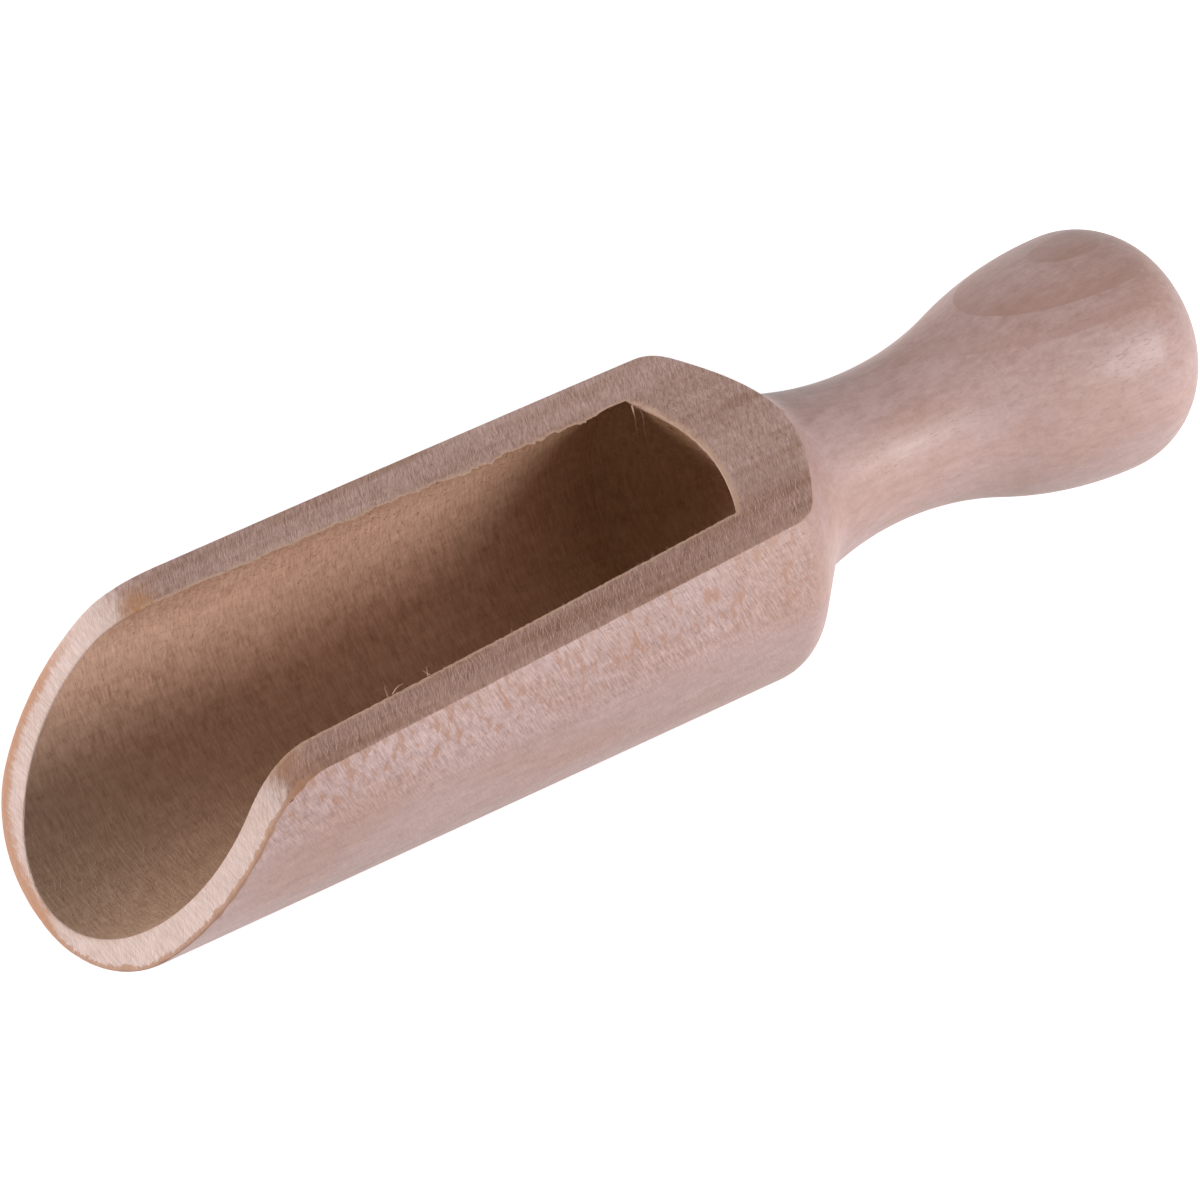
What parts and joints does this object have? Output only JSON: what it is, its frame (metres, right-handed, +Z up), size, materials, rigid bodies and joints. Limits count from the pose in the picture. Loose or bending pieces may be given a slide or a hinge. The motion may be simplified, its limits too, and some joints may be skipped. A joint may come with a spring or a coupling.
{
  "type": "wooden scoop",
  "caption": "Turned wooden scoop: a drilled cylindrical bowl with a milled open top and a slanted mouth, a waisted neck and a round knob handle, in one piece of beech.",
  "frame": {"origin": "centre of the bounding box in plan, at the height of the lowest line of the round belly", "axes": "+X along the turning axis from the mouth to the knob, +Z up out of the open side of the bowl, +Y to the left looking along +X"},
  "size_m": [0.1544, 0.04, 0.0347],
  "materials": {
    "beech": "bare wood: turned outside lightly sanded, milled top and drilled hollow left rough"
  },
  "bodies": {
    "root": {"scoop": "beech"}
  },
  "joints": []
}
